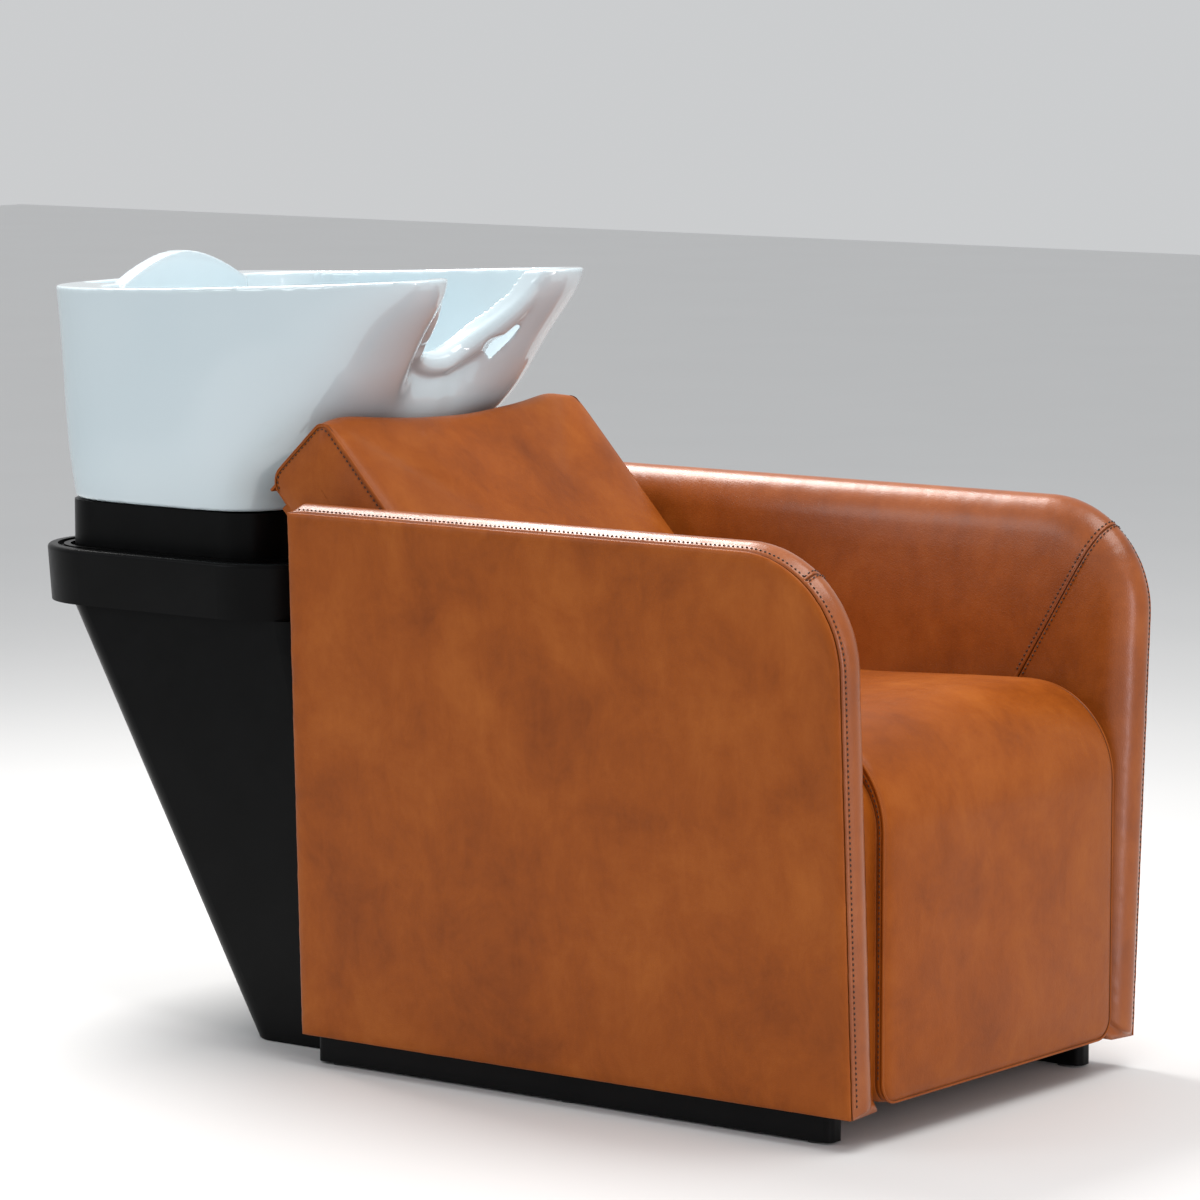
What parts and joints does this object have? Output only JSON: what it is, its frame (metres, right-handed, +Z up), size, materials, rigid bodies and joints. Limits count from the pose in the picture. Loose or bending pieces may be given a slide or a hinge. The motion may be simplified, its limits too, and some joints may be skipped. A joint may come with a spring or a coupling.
{
  "type": "shampoo backwash unit",
  "caption": "Salon backwash unit: leather armchair with reclined back, leaning black column, tilting ceramic basin with neck notch, mixer and pull-out hand spray.",
  "frame": {"origin": "on the floor under the middle of the whole unit's box", "axes": "+Z up, client faces -Y, basin at +Y, sitter's left is +X"},
  "size_m": [0.6696, 1.3256, 0.947],
  "materials": {
    "leather": "tan upholstery leather, mottled, satin",
    "plywood": "raw birch plywood",
    "black_shell": "black textured shell, satin",
    "black_steel": "black powder coat",
    "ceramic": "white glazed vitreous china",
    "chrome": "bright chrome",
    "brass_plated": "nickel-plated valve body",
    "black_rubber": "black rubber",
    "white_plastic": "white waste fittings",
    "knob_plastic": "grey knob",
    "brass": "machined brass",
    "braid": "steel-braided hose",
    "zinc_steel": "zinc-plated fasteners"
  },
  "bodies": {
    "base": {"arm_bolts": "zinc_steel", "arm_core_left": "plywood", "arm_core_right": "plywood", "arm_outer_panel_left": "leather", "arm_outer_panel_right": "leather", "arm_pad_left": "leather", "arm_pad_right": "leather", "axle_nuts": "zinc_steel", "backrest_board": "plywood", "backrest_brackets": "zinc_steel", "backrest_cushion": "leather", "backrest_screws": "zinc_steel", "backrest_zip_tab": "leather", "column_base_plate": "black_steel", "column_collar": "black_shell", "column_post": "black_steel", "column_shell": "black_shell", "cross_rails": "black_steel", "floor_glides": "black_rubber", "friction_washers": "zinc_steel", "link_straps": "black_steel", "pivot_yoke": "black_steel", "rear_cover": "leather", "runner_left": "black_steel", "runner_right": "black_steel", "seat_cushion": "leather", "seat_deck": "plywood", "seat_front_board": "plywood", "seat_rear_board": "plywood", "seat_side_cover_left": "leather", "seat_side_cover_right": "leather", "seat_side_rails": "plywood", "service_panel": "black_shell", "service_screws": "zinc_steel", "stop_valves": "brass_plated", "supply_hoses": "braid", "tilt_axle": "zinc_steel", "valve_clamp": "black_steel", "waste_boot": "black_rubber", "waste_pipe": "white_plastic", "waste_trap": "white_plastic"},
    "basin_head": {"basin": "ceramic", "neck_shroud": "black_shell", "tilt_cradle": "black_steel", "pivot_bushes": "brass", "cradle_bolts": "zinc_steel", "drain_flange": "chrome", "drain_lock_nut": "white_plastic", "waste_tail": "white_plastic", "mixer_body": "chrome", "mixer_lock_nut": "brass", "handset_holder": "chrome", "handset_hose": "braid"},
    "mixer_turn": {"mixer_cap": "chrome"},
    "mixer_lift": {"mixer_lever": "chrome"},
    "handset": {"handset": "chrome", "spray_face": "black_rubber"},
    "strainer": {"hair_strainer": "chrome"},
    "hot_knob": {"valve_handle_hot": "knob_plastic"},
    "cold_knob": {"valve_handle_cold": "knob_plastic"}
  },
  "joints": [
    {"name": "basin_tilt", "type": "hinge", "parent": "base", "child": "basin_head", "pos_m": [0, 0.45, 0.575], "axis": [-1, 0, 0], "range_deg": [-2, 8], "deforming": ["supply_hoses"]},
    {"name": "mixer_swivel", "type": "hinge", "parent": "basin_head", "child": "mixer_turn", "pos_m": [0.012, 0.616, 0.898], "axis": [0, 0, 1], "range_deg": [-35, 35]},
    {"name": "mixer_lever_lift", "type": "hinge", "parent": "mixer_turn", "child": "mixer_lift", "pos_m": [0.012, 0.607, 0.9084], "axis": [1, 0, 0], "range_deg": [0, 14]},
    {"name": "handset_pull", "type": "slide", "parent": "basin_head", "child": "handset", "axis": [0, 0, 1], "range_m": [0, 0.11]},
    {"name": "strainer_lift", "type": "slide", "parent": "basin_head", "child": "strainer", "axis": [0, 0, 1], "range_m": [0, 0.05]},
    {"name": "hot_knob_turn", "type": "hinge", "parent": "base", "child": "hot_knob", "pos_m": [-0.12, 0.262, 0.042], "axis": [1, 0, 0], "range_deg": [0, 90]},
    {"name": "cold_knob_turn", "type": "hinge", "parent": "base", "child": "cold_knob", "pos_m": [0.12, 0.262, 0.042], "axis": [1, 0, 0], "range_deg": [0, 90]}
  ]
}
